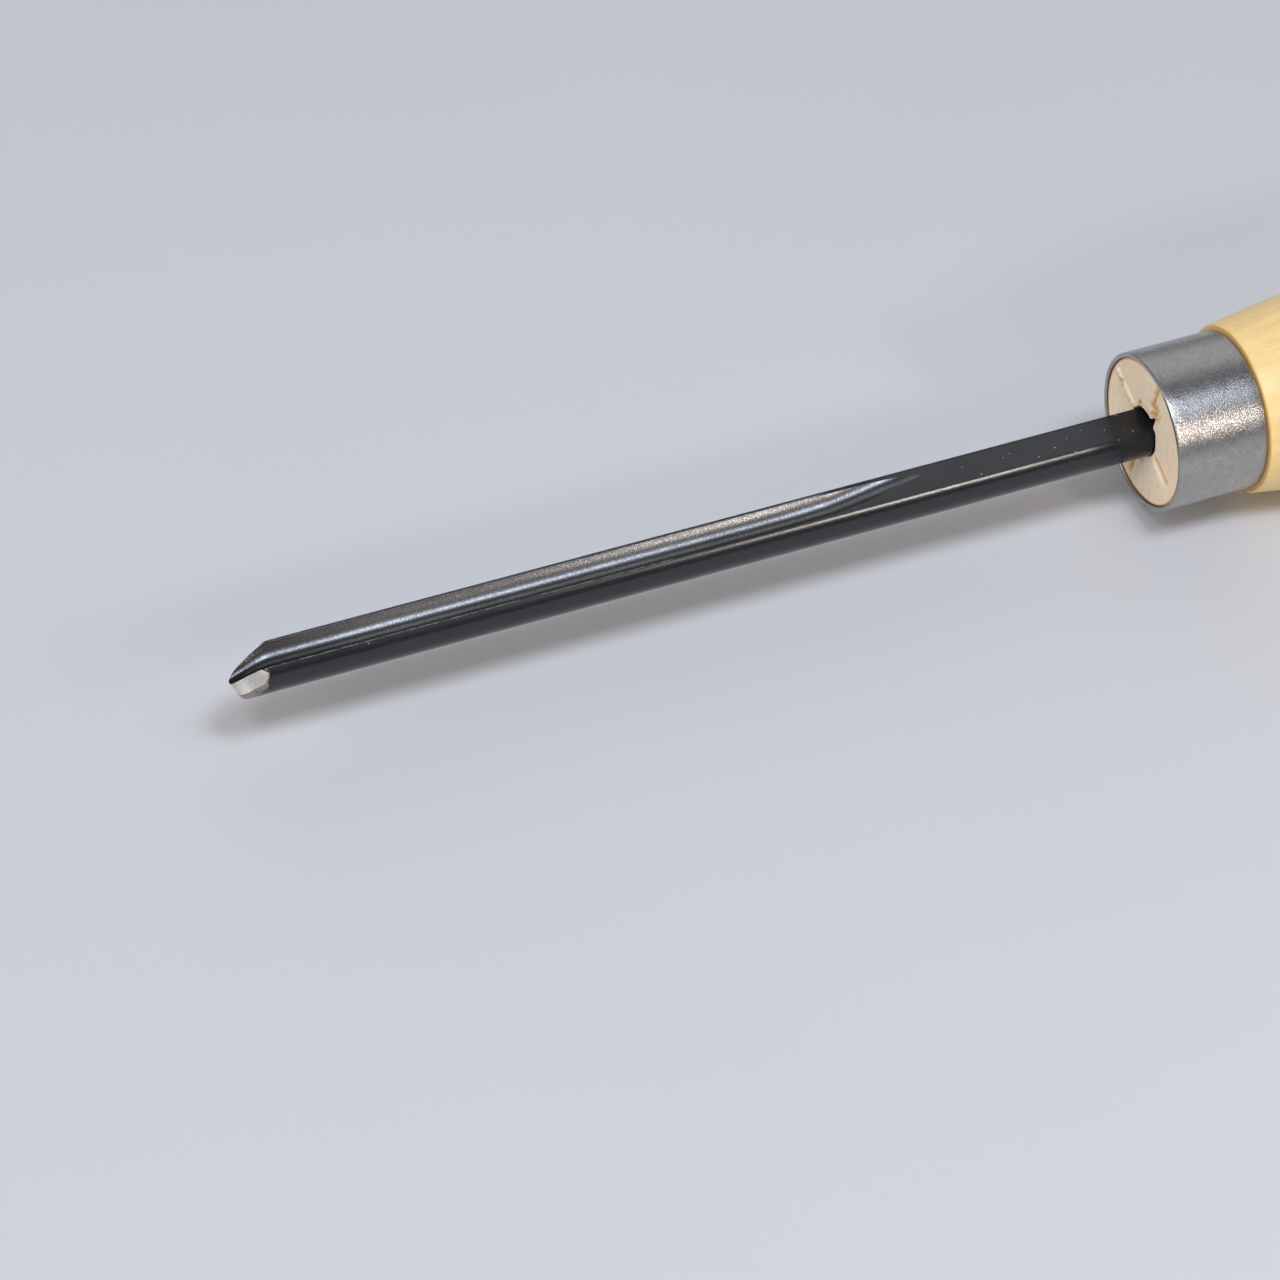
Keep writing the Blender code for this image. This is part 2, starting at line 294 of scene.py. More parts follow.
def height_share(z):
    """0 at the nose's height and 1 at the flat's."""
    return min(1.0, max(0.0, (z - NOSE_HEIGHT) / (FLAT_HEIGHT - NOSE_HEIGHT)))


def bevel_run(z, outwards):
    """Distance back from the cutting edge at height z of the bevel, this far outwards from it."""
    risen = height_share(z)
    primary = BEVEL_AT_NOSE + (BEVEL_AT_WING - BEVEL_AT_NOSE) * risen**BEVEL_EASE
    heel = HEEL_AT_NOSE + HEEL_RISE * risen
    return primary * min(outwards, HEEL_DISTANCE) + heel * max(0.0, outwards - HEEL_DISTANCE)


def bevel_point(share, part):
    """A point of the ground tip: part is 0 on the cutting edge, 1 on the heel line, 2 on the round."""
    back, y, z = edge_point(share * LIP_SHARE)
    round_y, round_z = round_point(share)
    whole = math.hypot(round_y - y, round_z - z)
    close, *seed = NICKS
    nick = NICK_DEPTH * noise.noise(Vector((share * close, *seed)))
    heel = min(HEEL_DISTANCE + nick, HEEL_SHARE * whole)
    distance = heel * part if part <= 1 else heel + (whole - heel) * (part - 1)
    way = distance / whole
    return back + bevel_run(z, distance), y + (round_y - y) * way, z + (round_z - z) * way


def corner_points():
    """The rounded corner on the +Y side, from the round up to the flat."""
    centre_z = FLAT_HEIGHT - CORNER_RADIUS
    centre_y = math.sqrt((BAR_RADIUS - CORNER_RADIUS) ** 2 - centre_z**2)
    start = math.atan2(centre_z, centre_y)
    turns = [start + (math.pi / 2 - start) * k / (CORNER_STEPS - 1) for k in range(CORNER_STEPS)]
    return [
        (centre_y + CORNER_RADIUS * math.cos(turn), centre_z + CORNER_RADIUS * math.sin(turn))
        for turn in turns
    ]


CORNER = corner_points()
# Shares across the flute, closer together towards its rims
SHARES = [math.sin(math.pi * (k / FLUTE_SPACES - 0.5)) for k in range(FLUTE_SPACES + 1)]
# Lines of a section are counted from the near corner, over the near lip, to the flute.
FIRST_FLUTE_LINE = CORNER_STEPS + 1
LAST_FLUTE_LINE = FIRST_FLUTE_LINE + FLUTE_SPACES
FIRST_WORN_AND_HIGHLIT_LINE = CORNER_STEPS - 2  # top of the near corner


def flute_lines(back):
    """The near lip, the flute and the far lip in the section at a distance back."""
    flute = [flute_point(back, share * LIP_SHARE) for share in SHARES]
    return [lip_point(back, -1), *flute, lip_point(back, 1)]


def section(back):
    """The bar's closed section: near corner, near lip, flute, far lip, far corner, then the round."""
    low = [round_point(share) for share in reversed(SHARES)]
    return [(-y, z) for y, z in CORNER] + flute_lines(back) + CORNER[::-1] + low


def tip_front():
    """The front end of every line of the section, where the ground tip cuts it."""

    def skin_front(y, z):
        back, rim_y, rim_z = edge_point(math.copysign(1.0, y))
        return back + bevel_run(rim_z, math.hypot(y - rim_y, z - rim_z)), y, z

    front = [skin_front(-y, z) for y, z in CORNER]
    front.append(skin_front(-RIM - LIP, FLAT_HEIGHT))
    front += [bevel_point(share, 0) for share in SHARES]
    front.append(skin_front(RIM + LIP, FLAT_HEIGHT))
    front += [skin_front(y, z) for y, z in reversed(CORNER)]
    front += [bevel_point(share, 2) for share in reversed(SHARES)]
    return front


def follow_dip(front, way):
    """A ring this share of the way from the ground tip back to DIP_END, on the sunken flute."""
    ring = []
    for k, (back, y, z) in enumerate(front):
        along = back + (DIP_END - back) * way
        if FIRST_FLUTE_LINE <= k <= LAST_FLUTE_LINE:
            y, z = flute_point(along, SHARES[k - FIRST_FLUTE_LINE] * LIP_SHARE)
        ring.append((along, y, z))
    return ring


def blade_rings():
    """Every ring of the bar from the ground tip to the tang's end, each a list of (back, y, z)."""
    front = tip_front()
    rings = [front]
    for k in range(1, DIP_RINGS + 1):
        rings.append(follow_dip(front, (k / DIP_RINGS) ** DIP_RING_SPREAD))
    step = (FLUTE_LENGTH - RUNOUT_START) / RUNOUT_RINGS
    stations = [*FLUTE_STATIONS]
    stations += [RUNOUT_START + step * k for k in range(RUNOUT_RINGS)]
    stations += [FLUTE_LENGTH - RUNOUT_LAST, FLUTE_LENGTH, FLUTE_LENGTH + HEAL_LENGTH]
    stations += [*SHANK_STATIONS, EXPOSED_BLADE]
    for back in stations:
        rings.append([(back, y, z) for y, z in section(back)])
    tang = section(EXPOSED_BLADE)
    tang_length = TANG_END - EXPOSED_BLADE
    for beyond, less in (
        (3 * TANG_EASE, TANG_EASE),
        (tang_length - TANG_CHAMFER, TANG_EASE),
        (tang_length, TANG_CHAMFER),
    ):
        share = 1 - less / BAR_RADIUS
        rings.append([(EXPOSED_BLADE + beyond, y * share, z * share) for y, z in tang])
    return rings


# The bar's materials, in the order of its slots
BLACK, FLUTE, BEVEL, WORN_AND_HIGHLIT, HEEL, CHIPPED = range(6)


def build_blade():
    """The bar, black but for the faces that are given another material."""
    bm = bmesh.new()

    def place(point):
        return bm.verts.new(in_frame(*point))

    # Bar, ring by ring from the ground tip back
    shapes = blade_rings()
    rings = [[place(point) for point in shape] for shape in shapes]
    count = len(rings[0])
    sharp = []
    for shape, ring, following in zip(shapes, rings, rings[1:]):
        fluted = shape[FIRST_FLUTE_LINE][0] < FLUTE_LENGTH
        for k in range(count):
            n = (k + 1) % count
            face = bm.faces.new((ring[k], ring[n], following[n], following[k]))
            if fluted and FIRST_FLUTE_LINE <= k < LAST_FLUTE_LINE:
                face.material_index = FLUTE
            # Top of the near corner and the near lip: rubbed steel that also serves as a painted highlight
            # line
            elif FIRST_WORN_AND_HIGHLIT_LINE <= k < FIRST_FLUTE_LINE and shape[0][0] < WORN_AND_HIGHLIT_LENGTH:
                face.material_index = WORN_AND_HIGHLIT
        if fluted:
            for k in (FIRST_FLUTE_LINE - 1, FIRST_FLUTE_LINE, LAST_FLUTE_LINE, LAST_FLUTE_LINE + 1):
                sharp.append(bm.edges.get((ring[k], following[k])))
    bm.faces.new(rings[-1])
    # Ground tip, row by row from the cutting edge out to the round
    front = rings[0]
    rows = [front[FIRST_FLUTE_LINE : LAST_FLUTE_LINE + 1]]
    parts = [k / BEVEL_ROWS for k in range(1, BEVEL_ROWS + 1)]
    parts += [1 + k / HEEL_ROWS for k in range(1, HEEL_ROWS)]
    for part in parts:
        rows.append([place(bevel_point(share, part)) for share in SHARES])
    rows.append(front[LAST_FLUTE_LINE + 2 + CORNER_STEPS :][::-1])
    for row, (inner, outer) in enumerate(zip(rows, rows[1:])):
        for k in range(FLUTE_SPACES):
            face = bm.faces.new((inner[k], inner[k + 1], outer[k + 1], outer[k]))
            risen = height_share(edge_point((SHARES[k] + SHARES[k + 1]) / 2)[2])
            if risen > UNGROUND_SHARE:
                face.material_index = CHIPPED
            else:
                face.material_index = BEVEL if row < BEVEL_ROWS else HEEL
    for k in range(FLUTE_SPACES):
        sharp.append(bm.edges.get((rows[BEVEL_ROWS][k], rows[BEVEL_ROWS][k + 1])))
    # Ends of the two wings, between the ground tip and the corners
    near = [row[0] for row in rows] + front[:FIRST_FLUTE_LINE]
    last = LAST_FLUTE_LINE + 1
    far = front[last : last + CORNER_STEPS + 1] + [row[-1] for row in reversed(rows)]
    for cap in (near, far):
        bm.faces.new(cap).material_index = CHIPPED
    for edge in sharp:
        edge.smooth = False
    materials = [
        black_oxide(),
        flute_steel(),
        ground_steel(),
        worn_and_highlit_steel(),
        heel_steel(),
        chipped_oxide(),
    ]
    return finish_piece("gouge_blade_skin", bm, materials, "gouge_blade")


# ---- Turned pieces ----


def even_turns(count):
    return [2 * math.pi * k / count for k in range(count)]


def turned_ring(bm, x, radius, segments):
    """A ring of points round the axis."""
    return [bm.verts.new(on_axis(x, radius, turn)) for turn in even_turns(segments)]


def join_rings(bm, first, second, index=0):
    """Faces from one ring to the next, in the material of this slot."""
    count = len(first)
    for k in range(count):
        n = (k + 1) % count
        bm.faces.new((first[k], first[n], second[n], second[k])).material_index = index


def rounded_edge(x, radius, turn_x, turn_radius):
    """Quarter round from (x, radius) to (x + turn_x, radius + turn_radius), axis side first."""
    made = []
    for k in range(ROUND_STEPS + 1):
        turn = math.pi / 2 * k / ROUND_STEPS
        made.append((x + turn_x * (1 - math.cos(turn)), radius + turn_radius * math.sin(turn)))
    return made


def build_ferrule():
    """The tube, whose outline is walked from its front bore over the outside and back."""
    bm = bmesh.new()
    edge = FERRULE_EDGE
    outline = [(x, FERRULE_BORE + above) for x, above in FERRULE_FRONT_EDGE]
    outline += rounded_edge(0, FERRULE_RADIUS - edge, edge, edge)
    for k in range(1, FERRULE_SPACES):
        outline.append((FERRULE_LENGTH * k / FERRULE_SPACES, FERRULE_RADIUS))
    back = rounded_edge(FERRULE_LENGTH, FERRULE_RADIUS - edge, -edge, edge)
    outline += back[::-1]
    outline.append((FERRULE_LENGTH, FERRULE_BORE))
    rings = [turned_ring(bm, x, radius, FERRULE_SEGMENTS) for x, radius in outline]
    for first, second in zip(rings, [*rings[1:], rings[0]]):
        join_rings(bm, first, second)
    return finish_piece("ferrule_tube", bm, [satin_steel()], "ferrule")


def half_wave(start, end, count):
    """Points that swing smoothly from one (x, radius) to another, without the first."""
    made = []
    for k in range(1, count + 1):
        share = (1 - math.cos(math.pi * k / count)) / 2
        x = start[0] + (end[0] - start[0]) * k / count
        made.append((x, start[1] + (end[1] - start[1]) * share))
    return made


def handle_outline():
    """(x, radius) from the shoulder to the edge of the flat on the butt."""
    outline = [(SHOULDER, SHOULDER_RADIUS), (SHOULDER + SHOULDER_EASE, NECK_RADIUS)]
    for k in range(1, NECK_STEPS + 1):
        share = k / NECK_STEPS
        x = SHOULDER + SHOULDER_EASE + (FRONT_SWELL - SHOULDER_EASE) * share
        swell = (SWELL_RADIUS - NECK_RADIUS) * math.sin(math.pi / 2 * share)
        outline.append((x, NECK_RADIUS + swell))
    waist = (SHOULDER + WAIST, WAIST_RADIUS)
    rear = (SHOULDER + REAR_SWELL, SWELL_RADIUS)
    outline += half_wave(outline[-1], waist, WAIST_STEPS)
    outline += half_wave(waist, rear, REAR_STEPS)
    flat_share = (BUTT_RADIUS / SWELL_RADIUS) ** (BUTT_FULLNESS / 2)
    last_turn = math.acos(flat_share)
    dome = (BUTT - rear[0]) / math.sin(last_turn) ** (2 / BUTT_FULLNESS)
    for k in range(1, BUTT_STEPS + 1):
        turn = last_turn * k / BUTT_STEPS
        along = math.sin(turn) ** (2 / BUTT_FULLNESS)
        across = math.cos(turn) ** (2 / BUTT_FULLNESS)
        outline.append((rear[0] + dome * along, SWELL_RADIUS * across))
    return outline


def hole_radius(angle):
    """The tang hole's torn mouth: a circle with ragged fibres and a notch at its upper near side."""
    round_place = Vector((math.cos(angle), math.sin(angle), 0))
    ragged = 0.0
    for far, quick, seed in TEARS:
        ragged += far * noise.noise(round_place * quick + Vector((0, 0, seed)))
    ragged *= 1 + TOP_RAGGEDNESS * max(0.0, math.sin(angle))
    upper = 0.5 + 0.5 * math.sin(angle)
    slack = upper * (HOLE_RADIUS + HOLE_SLACK - BAR_RADIUS + ragged)
    off = abs(math.remainder(angle - NOTCH_ANGLE, 2 * math.pi))
    notch = NOTCH_REACH * math.exp(-((off / NOTCH_WIDTH) ** 2))
    return BAR_RADIUS + HOLE_SLACK + slack + notch


def ramp_down(value, start, end):
    """1 up to start, falling to 0 at end."""
    return min(1.0, max(0.0, (end - value) / (end - start)))


def drive_arm(y, z, angle, inner, outer, strip):
    """Slit, bruise and torn fibre, each from 0 to 1, that one arm of the drive mark makes at a point."""
    turn = math.radians(angle)
    along = y * math.cos(turn) + z * math.sin(turn)
    wobble = 0.0
    for far, quick, seed in WOBBLES:
        wobble += far * noise.noise(Vector((along * quick, angle, seed)))
    aside = -y * math.sin(turn) + z * math.cos(turn) + wobble
    reach = ramp_down(max(inner - along, along - outer), *ARM_ENDS)
    grain_along, grain_across = FIBRE_GRAIN
    torn = 0.5 + 0.5 * noise.noise(Vector((along * grain_along, aside * grain_across, angle)))
    slit = reach * ramp_down(abs(aside), *(SLIT_HALF_WIDTH * side for side in SLIT_SIDES))
    bruise = slit * (SLIT_BRUISE + (1 - SLIT_BRUISE) * torn)
    if not strip:
        return slit, bruise, 0.0
    far, quick, seed = STRIP_UNEVENNESS
    width = strip * (1 + far * noise.noise(Vector((along * quick, angle, seed))))
    band = reach * ramp_down(abs(aside - strip), *(width * side for side in STRIP_SIDES))
    return slit, bruise, band * min(1.0, LEAST_FIBRE + torn)


def crushed(y, z):
    """How crushed the wood is at a point, from the nearest of the round bruises."""
    crush = 0.0
    for angle, radius, reach in CRUSHED_PATCHES:
        turn = math.radians(angle)
        off = math.hypot(y - radius * math.cos(turn), z - radius * math.sin(turn))
        crush = max(crush, ramp_down(off, reach * CRUSHED_CORE, reach))
    quick, seed = CRUSHED_GRAIN
    return crush * (0.5 + noise.noise(Vector((y * quick, z * quick, seed))))


def face_marks(y, z):
    """How deep, how bruised and how fibrous the tenon's end face is at a point."""
    arms = [drive_arm(y, z, *arm) for arm in DRIVE_MARKS]
    slit, bruise, fibre = (max(values) for values in zip(*arms))
    crush = crushed(y, z)
    bruise = max(bruise, min(1.0, max(0.0, CRUSHED_STAIN * crush)))
    quick, seed = LUMP_GRAIN
    lump = LUMP_HEIGHT * crush * noise.noise(Vector((y * quick, z * quick, seed)))
    return SLIT_DEPTH * slit - FIBRE_RISE * fibre * (1 - bruise) + lump, bruise, fibre


# The handle's materials, in the order of its slots
LACQUERED, END_GRAIN = range(2)


def build_handle():
    """The handle from the bottom of the tang hole, over the tenon's end face, to the butt."""
    bm = bmesh.new()
    bruise_and_rim_layer = bm.verts.layers.float.new("bruise")
    fibre_layer = bm.verts.layers.float.new("fibre")
    turns = even_turns(HANDLE_SEGMENTS)
    # Tenon's end face, from the hole's torn mouth out to its rounded edge
    face_edge = TENON_RADIUS - TENON_EDGE
    rings = []
    for row in range(FACE_ROWS + 1):
        ring = []
        for turn in turns:
            inner = hole_radius(turn)
            radius = inner + (face_edge - inner) * row / FACE_ROWS
            dent, bruise, fibre = face_marks(radius * math.cos(turn), radius * math.sin(turn))
            rim_fade = min(1.0, (FACE_ROWS - row) / RIM_FADE_ROWS)
            point = bm.verts.new(on_axis(TENON_RECESS + dent * rim_fade, radius, turn))
            # the face's outermost rows are tinted amber
            point[bruise_and_rim_layer] = max(bruise, RIM_AMBER * (row >= FACE_ROWS - 1))
            point[fibre_layer] = fibre
            ring.append(point)
        rings.append(ring)
    for first, second in zip(rings, rings[1:]):
        join_rings(bm, first, second, END_GRAIN)
    # Down into the hole, whose tear goes on below the mouth
    torn_x = TENON_RECESS + TORN_DEPTH
    torn = [bm.verts.new(on_axis(torn_x, TORN_SHRINK * hole_radius(turn), turn)) for turn in turns]
    wall = [torn]
    for x in (WALL_START, HOLE_DEPTH):
        wall.append(turned_ring(bm, TENON_RECESS + x, HOLE_RADIUS, HANDLE_SEGMENTS))
    for first, second in zip([rings[0], *wall], wall):
        join_rings(bm, first, second, END_GRAIN)
    bm.faces.new(wall[-1])
    # Out over the tenon's edge, back along it, and over the handle
    previous = rings[-1]
    for x in (TENON_RECESS + TENON_EDGE, SHOULDER):
        ring = turned_ring(bm, x, TENON_RADIUS, HANDLE_SEGMENTS)
        join_rings(bm, previous, ring, END_GRAIN)
        previous = ring
    for x, radius in handle_outline():
        ring = turned_ring(bm, x, radius, HANDLE_SEGMENTS)
        join_rings(bm, previous, ring, LACQUERED)
        previous = ring
    bm.faces.new(previous)
    materials = [lacquered_wood(), end_grain()]
    return finish_piece("handle_turning", bm, materials, "handle")


# ---- Materials ----


class Shader:
    """A Principled material being built, with its coordinates in millimetres of the part's frame."""

    def __init__(self, name, metallic, roughness):
        self.material = bpy.data.materials.new(name)
        self.material.use_nodes = True
        self.tree = self.material.node_tree
        self.principled = self.tree.nodes["Principled BSDF"]
        self.set("Metallic", metallic)
        self.set("Roughness", roughness)
        self.place = self.tree.nodes.new("ShaderNodeTexCoord").outputs["Object"]

    def set(self, socket, value):
        self.principled.inputs[socket].default_value = value

    def join(self, output, socket):
        self.tree.links.new(output, self.principled.inputs[socket])

    def stretch(self, x, y, z):
        """Coordinates scaled to this many texture units for each millimetre."""
        mapping = self.tree.nodes.new("ShaderNodeMapping")
        mapping.inputs["Scale"].default_value = (x / MM, y / MM, z / MM)
        self.tree.links.new(self.place, mapping.inputs["Vector"])
        return mapping.outputs["Vector"]

    def noise(self, scale, detail=4.0, rough=0.55):
        node = self.tree.nodes.new("ShaderNodeTexNoise")
        node.inputs["Scale"].default_value = 1.0
        node.inputs["Detail"].default_value = detail
        node.inputs["Roughness"].default_value = rough
        self.tree.links.new(self.stretch(*scale), node.inputs["Vector"])
        return node.outputs["Fac"]

    def cells(self, scale):
        """Distance from the nearest of many scattered points."""
        node = self.tree.nodes.new("ShaderNodeTexVoronoi")
        node.inputs["Scale"].default_value = 1.0
        self.tree.links.new(self.stretch(*scale), node.inputs["Vector"])
        return node.outputs["Distance"]

    def along(self, axis, low, high):
        """0 at low and 1 at high, in metres of the part's frame along X, Y or Z."""
        parts = self.tree.nodes.new("ShaderNodeSeparateXYZ")
        self.tree.links.new(self.place, parts.inputs["Vector"])
        node = self.tree.nodes.new("ShaderNodeMapRange")
        node.inputs["From Min"].default_value = low
        node.inputs["From Max"].default_value = high
        self.tree.links.new(parts.outputs[axis], node.inputs["Value"])
        return node.outputs["Result"]

    def attribute(self, name):
        node = self.tree.nodes.new("ShaderNodeAttribute")
        node.attribute_name = name
        return node.outputs["Fac"]

    def product(self, first, second):
        node = self.tree.nodes.new("ShaderNodeMath")
        node.operation = "MULTIPLY"
        for socket, value in zip(node.inputs, (first, second)):
            self.tree.links.new(value, socket)
        return node.outputs["Value"]

    def ramp(self, value, *stops):
        """Colours or greys at places from 0 to 1 along value."""
        node = self.tree.nodes.new("ShaderNodeValToRGB")
        points = node.color_ramp.elements
        while len(points) < len(stops):
            points.new(0.5)
        for point, (at, tone) in zip(points, stops):
            point.position = at
            grey = isinstance(tone, (int, float))
            point.color = (tone, tone, tone, 1) if grey else (*tone, 1)
        self.tree.links.new(value, node.inputs["Fac"])
        return node.outputs["Color"]

    def mix(self, share, first, second, kind="MIX"):
        """The first colour where share is 0 and the second where it is 1."""
        node = self.tree.nodes.new("ShaderNodeMix")
        node.data_type = "RGBA"
        node.blend_type = kind
        factor, first_colour, second_colour = (node.inputs[k] for k in (0, 6, 7))
        for socket, value in ((factor, share), (first_colour, first), (second_colour, second)):
            if isinstance(value, bpy.types.NodeSocket):
                self.tree.links.new(value, socket)
            elif isinstance(value, tuple):
                socket.default_value = (*value, 1)
            else:
                socket.default_value = value
        return node.outputs[2]

    def tint(self, first, second):
        """Two colours multiplied."""
        return self.mix(1.0, first, second, "MULTIPLY")

    def bump(self, height, distance):
        """Bumps this many millimetres deep."""
        node = self.tree.nodes.new("ShaderNodeBump")
        node.inputs["Strength"].default_value = 1.0
        node.inputs["Distance"].default_value = distance * MM
        self.tree.links.new(height, node.inputs["Height"])
        self.join(node.outputs["Normal"], "Normal")


def black_oxide():
    """Blued skin of the bar, with dust lying on the flat."""
    shader = Shader("black_oxide", 0.0, 0.3)
    shader.set("IOR", 1.58)
    cloud = shader.noise((0.25, 0.6, 0.6), 3)
    skin = shader.ramp(cloud, (0.3, (0.010, 0.011, 0.013)), (0.7, (0.015, 0.0155, 0.017)))
    speck = shader.ramp(shader.cells((0.62, 0.9, 0.9)), (0.05, 1.0), (0.07, 0.0))
    top = shader.along("Z", AXIS_Z + 1.7 * MM, AXIS_Z + 2.0 * MM)
    dust = shader.product(speck, top)
    shader.join(shader.mix(dust, skin, (0.55, 0.53, 0.50)), "Base Color")
    fine = shader.noise((3, 4, 4), 2)
    satin = shader.ramp(fine, (0.3, 0.20), (0.75, 0.24))
    shader.join(shader.mix(dust, satin, (0.9, 0.9, 0.9)), "Roughness")
    shader.bump(fine, 0.003)
    # Duller on the lower half of the round, and where handling dirt gathers before the ferrule
    height = shader.along("Z", AXIS_Z - 1.5 * MM, AXIS_Z + 1.5 * MM)
    level = shader.ramp(height, (0.0, 0.38), (1.0, 0.5))
    dirt = shader.along("X", FERRULE_LOW.x - 9 * MM, FERRULE_LOW.x - 2 * MM)
    level = shader.tint(level, shader.ramp(dirt, (0.0, 1.0), (1.0, 0.35)))
    # And along the far edge of the flat, down to the flute's far lip
    far_edge = shader.along("Y", 1.9 * MM, 2.05 * MM)
    level = shader.tint(level, shader.ramp(far_edge, (0.0, 1.0), (1.0, 0.15)))
    shader.join(level, "Specular IOR Level")
    return shader.material


def flute_steel():
    """Dark ground steel with a fine grain, darker towards the nose."""
    shader = Shader("flute_steel", 1.0, 0.4)
    speckle = shader.noise((5.5, 2.4, 2.4), 2, 0.7)
    cloud = shader.noise((0.15, 0.8, 0.8), 3)
    tone = shader.ramp(cloud, (0.3, (0.142, 0.143, 0.145)), (0.7, (0.188, 0.189, 0.192)))
    grain = shader.ramp(speckle, (0.3, 0.7), (0.7, 1.3))
    tone = shader.tint(tone, grain)
    nose = shader.ramp(shader.along("X", NOSE_X, NOSE_X + 20 * MM), (0.0, 0.4), (1.0, 1.0))
    shader.join(shader.tint(tone, nose), "Base Color")
    shader.join(shader.ramp(speckle, (0.3, 0.31), (0.7, 0.23)), "Roughness")
    shader.bump(shader.noise((5, 5, 5), 2, 0.7), 0.008)
    return shader.material


def ground_steel():
    """Primary bevel, with the wheel's lines running from the edge to the heel."""
    shader = Shader("ground_steel", 0.8, 0.28)
    lines = shader.noise((15, 2, 2), 3)
    steel = shader.ramp(lines, (0.3, (0.92, 0.86, 0.78)), (0.7, (1.0, 0.96, 0.90)))
    worn = shader.along("X", NOSE_X + 0.1 * MM, NOSE_X + 1.7 * MM)
    straw = shader.ramp(worn, (0.0, (0.60, 0.56, 0.51)), (1.0, (1.0, 1.0, 1.0)))
    shader.join(shader.tint(steel, straw), "Base Color")
    shader.join(shader.ramp(lines, (0.3, 0.34), (0.7, 0.24)), "Roughness")
    shader.bump(lines, 0.008)
    return shader.material


def heel_steel():
    """Heel facet: duller, with nicks."""
    shader = Shader("heel_steel", 1.0, 0.4)
    lines = shader.noise((9, 3, 3), 4)
    steel = shader.ramp(lines, (0.3, (0.27, 0.235, 0.20)), (0.7, (0.46, 0.41, 0.36)))
    nick = shader.ramp(shader.noise((2.6, 2.6, 2.6), 3, 0.6), (0.60, 0.0), (0.66, 1.0))
    shader.join(shader.mix(nick, steel, (0.08, 0.07, 0.06)), "Base Color")
    shader.bump(lines, 0.02)
    return shader.material


def worn_and_highlit_steel():
    """Near edge of the flute, where rubbing has taken the black off in places; its bright steel is partly
    a painted highlight line.
    """
    shader = Shader("worn_and_highlit_steel", 0.6, 0.4)
    broken = shader.noise((1.1, 4, 4), 4, 0.65)
    bright, dark = (0.60, 0.57, 0.52), (0.035, 0.035, 0.038)
    shader.join(shader.ramp(broken, (0.44, dark), (0.54, bright)), "Base Color")
    shader.bump(broken, 0.02)
    return shader.material


def chipped_oxide():
    """Black skin at the wings' ends, with pale specks where it has chipped."""
    shader = Shader("chipped_oxide", 0.6, 0.35)
    chips = shader.noise((4, 4, 4), 3, 0.7)
    skin = shader.ramp(chips, (0.53, (0.03, 0.03, 0.032)), (0.60, (0.55, 0.51, 0.46)))
    shader.join(skin, "Base Color")
    shader.bump(chips, 0.05)
    return shader.material


def satin_steel():
    """Tumbled ferrule: dull steel covered with fine dents that sparkle."""
    shader = Shader("satin_steel", 1.0, 0.33)
    mottle = shader.noise((0.7, 0.7, 0.7), 5, 0.6)
    tone = shader.ramp(mottle, (0.3, (0.39, 0.38, 0.365)), (0.7, (0.47, 0.46, 0.44)))
    speckle = shader.noise((5.5, 5.5, 5.5), 2, 0.8)
    spots = shader.ramp(speckle, (0.36, 0.85), (0.64, 1.15))
    shader.join(shader.tint(tone, spots), "Base Color")
    shader.join(shader.ramp(speckle, (0.3, 0.30), (0.7, 0.21)), "Roughness")
    shader.bump(speckle, 0.032)
    return shader.material


def end_grain():
    """Tenon's end: pale dry wood, amber where the drive centre has crushed it and in a thin ring round its
    outer edge.
    """
    shader = Shader("end_grain", 0.0, 0.7)
    grain = shader.noise((0.5, 2.4, 0.5), 4)
    wood = shader.ramp(grain, (0.3, (0.96, 0.74, 0.53)), (0.7, (1.0, 0.86, 0.64)))
    pores = shader.ramp(shader.noise((6, 7, 3), 2), (0.35, 0.86), (0.5, 1.0))
    wood = shader.tint(wood, pores)
    wood = shader.mix(shader.attribute("fibre"), wood, (1.0, 0.86, 0.66))
    shader.join(shader.mix(shader.attribute("bruise"), wood, (0.66, 0.36, 0.10)), "Base Color")
    shader.bump(grain, 0.03)
    return shader.material


def lacquered_wood():
    """Pale yellow hardwood under clear lacquer, amber at the shoulder: partly lacquer pooled there, partly
    painted shade in the crease by the ferrule.
    """
    shader = Shader("lacquered_wood", 0.0, 0.45)
    grain = shader.noise((0.045, 0.65, 0.65), 5, 0.6)
    wood = shader.ramp(grain, (0.3, (0.90, 0.61, 0.235)), (0.7, (0.97, 0.72, 0.325)))
    flecks = shader.ramp(shader.noise((0.35, 5, 5), 3), (0.3, 0.90), (0.5, 1.0))
    wood = shader.tint(wood, flecks)
    # Amber on the shoulder face: pooled lacquer together with painted shade of the crease behind the
    # ferrule
    shoulder_x = FERRULE_LOW.x + SHOULDER * MM
    from_shoulder = shader.along("X", shoulder_x, shoulder_x + 0.2 * MM)
    pooled_and_shaded = shader.ramp(from_shoulder, (0.0, 1.0), (1.0, 0.0))
    shader.join(shader.mix(pooled_and_shaded, wood, (0.74, 0.47, 0.16)), "Base Color")
    shader.set("Coat Weight", 0.2)
    shader.set("Coat Roughness", 0.4)
    shader.bump(grain, 0.02)
    return shader.material


def floor_finish():
    """Plain pale board, with a faint unevenness of tone."""
    shader = Shader("floor_finish", 0.0, 0.6)
    cloud = shader.noise((0.01, 0.01, 0.01), 2)
    board = shader.ramp(cloud, (0.3, (0.614, 0.617, 0.624)), (0.7, (0.626, 0.629, 0.636)))
    shader.join(board, "Base Color")
    return shader.material


# ---- Studio ----


